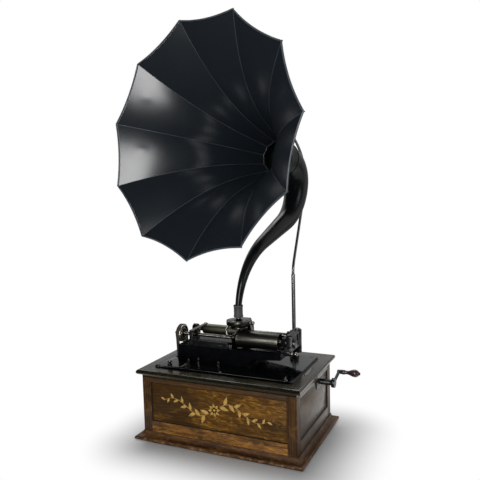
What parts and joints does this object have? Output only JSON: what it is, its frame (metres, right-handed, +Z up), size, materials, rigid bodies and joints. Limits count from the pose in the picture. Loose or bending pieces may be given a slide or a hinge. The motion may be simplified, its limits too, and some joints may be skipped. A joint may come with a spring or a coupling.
{
  "type": "cylinder phonograph",
  "caption": "Oak cased cylinder phonograph with a cranked spring motor, a mandrel and carriage in the open, and a panelled swan neck horn hung from a rear crane.",
  "frame": {"origin": "middle of the cabinet's underside, on the table", "axes": "+X to the crank side, +Y to the back, +Z up"},
  "size_m": [0.6222, 0.577, 1.0766],
  "materials": {
    "oak_dark": "fumed oak, varnished",
    "oak_front": "golden oak, varnished",
    "oak_lid": "fumed oak, polished",
    "japanned_iron": "black japan, gloss",
    "nickel": "worn nickel plate",
    "steel": "bright steel",
    "brass": "cut brass",
    "horn_enamel": "black enamel, gloss",
    "rubber": "moulded rubber",
    "leather": "oiled leather",
    "mahogany": "turned and stained"
  },
  "bodies": {
    "cabinet": {"plinth_moulding": "oak_dark", "bottom_board": "oak_dark", "corner_posts": "oak_dark", "front_rails": "oak_front", "side_rails": "oak_dark", "front_panel": "oak_front", "left_panel": "oak_dark", "right_panel": "oak_dark", "back_panel": "oak_dark", "lid_frame": "oak_lid", "catch_plate": "nickel", "crank_escutcheon": "japanned_iron", "bedplate": "japanned_iron", "bedplate_screws": "nickel", "oil_cups": "nickel", "body_casting": "japanned_iron", "guide_bar": "japanned_iron", "gate_pin": "nickel", "control_posts": "japanned_iron", "crane_bracket": "japanned_iron", "crane_socket": "japanned_iron", "crane_collar": "japanned_iron", "crane_post": "nickel", "crane_rod": "japanned_iron", "crane_link": "steel", "drive_belt": "leather", "motor_plates": "japanned_iron", "motor_pillars": "steel", "motor_hangers": "steel"},
    "crank": {"crank": "japanned_iron", "winding_pinion": "steel"},
    "grip": {"crank_grip": "mahogany"},
    "winding": {"winding_gear": "brass"},
    "barrel": {"spring_barrel": "brass"},
    "intermediate": {"intermediate_wheel": "brass"},
    "pulley": {"pulley_shaft": "brass", "drive_pulley": "japanned_iron"},
    "governor": {"governor_spindle": "steel", "governor_weights": "brass"},
    "mandrel": {"main_shaft": "nickel", "mandrel": "nickel", "mandrel_pulley": "japanned_iron"},
    "back_rod": {"back_rod": "nickel"},
    "carriage": {"carriage": "japanned_iron", "feed_nut_arm": "nickel", "carriage_fork": "nickel", "reproducer": "nickel", "reproducer_screw": "nickel"},
    "weight": {"floating_weight": "nickel"},
    "lift_lever": {"lift_lever": "nickel"},
    "connector": {"rubber_connector": "rubber"},
    "horn": {"horn_neck": "horn_enamel", "horn_ferrule": "horn_enamel", "horn_panels": "horn_enamel", "horn_rim": "horn_enamel", "horn_eye": "steel"},
    "gate": {"end_gate": "japanned_iron"},
    "latch": {"gate_latch": "nickel"},
    "start_lever": {"start_lever": "japanned_iron"},
    "speed_screw": {"speed_screw": "nickel"}
  },
  "joints": [
    {"name": "crank_turn", "type": "hinge", "parent": "cabinet", "child": "crank", "pos_m": [0.2495, 0.05403, 0.14305], "axis": [1, 0, 0], "continuous": true},
    {"name": "grip_spin", "type": "hinge", "parent": "crank", "child": "grip", "pos_m": [0.2495, 0.10957, 0.15587], "axis": [1, 0, 0], "continuous": true},
    {"name": "winding_turn", "type": "hinge", "parent": "cabinet", "child": "winding", "pos_m": [0.096, 0.0578, 0.10725], "axis": [1, 0, 0], "continuous": true},
    {"name": "mandrel_spin", "type": "hinge", "parent": "cabinet", "child": "mandrel", "pos_m": [0, -0.005, 0.256], "axis": [1, 0, 0], "continuous": true},
    {"name": "pulley_spin", "type": "hinge", "parent": "cabinet", "child": "pulley", "pos_m": [-0.1, -0.005, 0.1473], "axis": [1, 0, 0], "continuous": true},
    {"name": "intermediate_spin", "type": "hinge", "parent": "cabinet", "child": "intermediate", "pos_m": [-0.07, -0.005, 0.1123], "axis": [1, 0, 0], "continuous": true},
    {"name": "barrel_spin", "type": "hinge", "parent": "cabinet", "child": "barrel", "pos_m": [0, 0.0578, 0.10725], "axis": [1, 0, 0], "continuous": true},
    {"name": "governor_spin", "type": "hinge", "parent": "cabinet", "child": "governor", "pos_m": [-0.04, -0.03531, 0.1648], "axis": [1, 0, 0], "continuous": true},
    {"name": "carriage_lift", "type": "hinge", "parent": "cabinet", "child": "back_rod", "pos_m": [0, 0.042, 0.262], "axis": [-1, 0, 0], "range_deg": [0, 3]},
    {"name": "carriage_slide", "type": "slide", "parent": "back_rod", "child": "carriage", "axis": [1, 0, 0], "range_m": [0, 0.1]},
    {"name": "lift_lever_turn", "type": "hinge", "parent": "carriage", "child": "lift_lever", "pos_m": [0.0085, -0.0496, 0.27], "axis": [0, 1, 0], "range_deg": [0, 60.1]},
    {"name": "weight_float", "type": "hinge", "parent": "carriage", "child": "weight", "pos_m": [0.0065, 0.012, 0.2905], "axis": [-1, 0, 0], "range_deg": [0, 2.5]},
    {"name": "horn_follow", "type": "slide", "parent": "cabinet", "child": "connector", "axis": [1, 0, 0], "range_m": [0, 0.1001]},
    {"name": "horn_yaw", "type": "hinge", "parent": "connector", "child": "horn", "pos_m": [0.0065, -0.005, 0.335], "axis": [0, 0, 1], "range_deg": [0, 24.3]},
    {"name": "gate_swing", "type": "hinge", "parent": "cabinet", "child": "gate", "pos_m": [0.156, 0.042, 0.26], "axis": [0, 0, 1], "range_deg": [0, 85]},
    {"name": "latch_pull", "type": "slide", "parent": "gate", "child": "latch", "axis": [1, 0, 0], "range_m": [0, 0.008], "stiffness_N_per_m": 300, "springref_m": -0.006},
    {"name": "start_lever_turn", "type": "hinge", "parent": "cabinet", "child": "start_lever", "pos_m": [-0.1, -0.108, 0.2], "axis": [0, 0, -1], "range_deg": [0, 12]},
    {"name": "speed_turn", "type": "hinge", "parent": "cabinet", "child": "speed_screw", "pos_m": [-0.15, -0.108, 0.2], "axis": [0, 0, 1], "range_deg": [-170, 170]}
  ],
  "couplings": [
    {"joint": "winding_turn", "follows": "crank_turn", "ratio": -0.5},
    {"joint": "pulley_spin", "follows": "mandrel_spin", "ratio": 1.5},
    {"joint": "intermediate_spin", "follows": "mandrel_spin", "ratio": -0.375},
    {"joint": "barrel_spin", "follows": "mandrel_spin", "ratio": 0.075},
    {"joint": "governor_spin", "follows": "mandrel_spin", "ratio": -6},
    {"joint": "lift_lever_turn", "follows": "carriage_lift", "ratio": 20},
    {"joint": "horn_follow", "follows": "carriage_slide", "ratio": 1},
    {"joint": "horn_yaw", "follows": "carriage_slide", "rad_per_m": 4.2237}
  ]
}
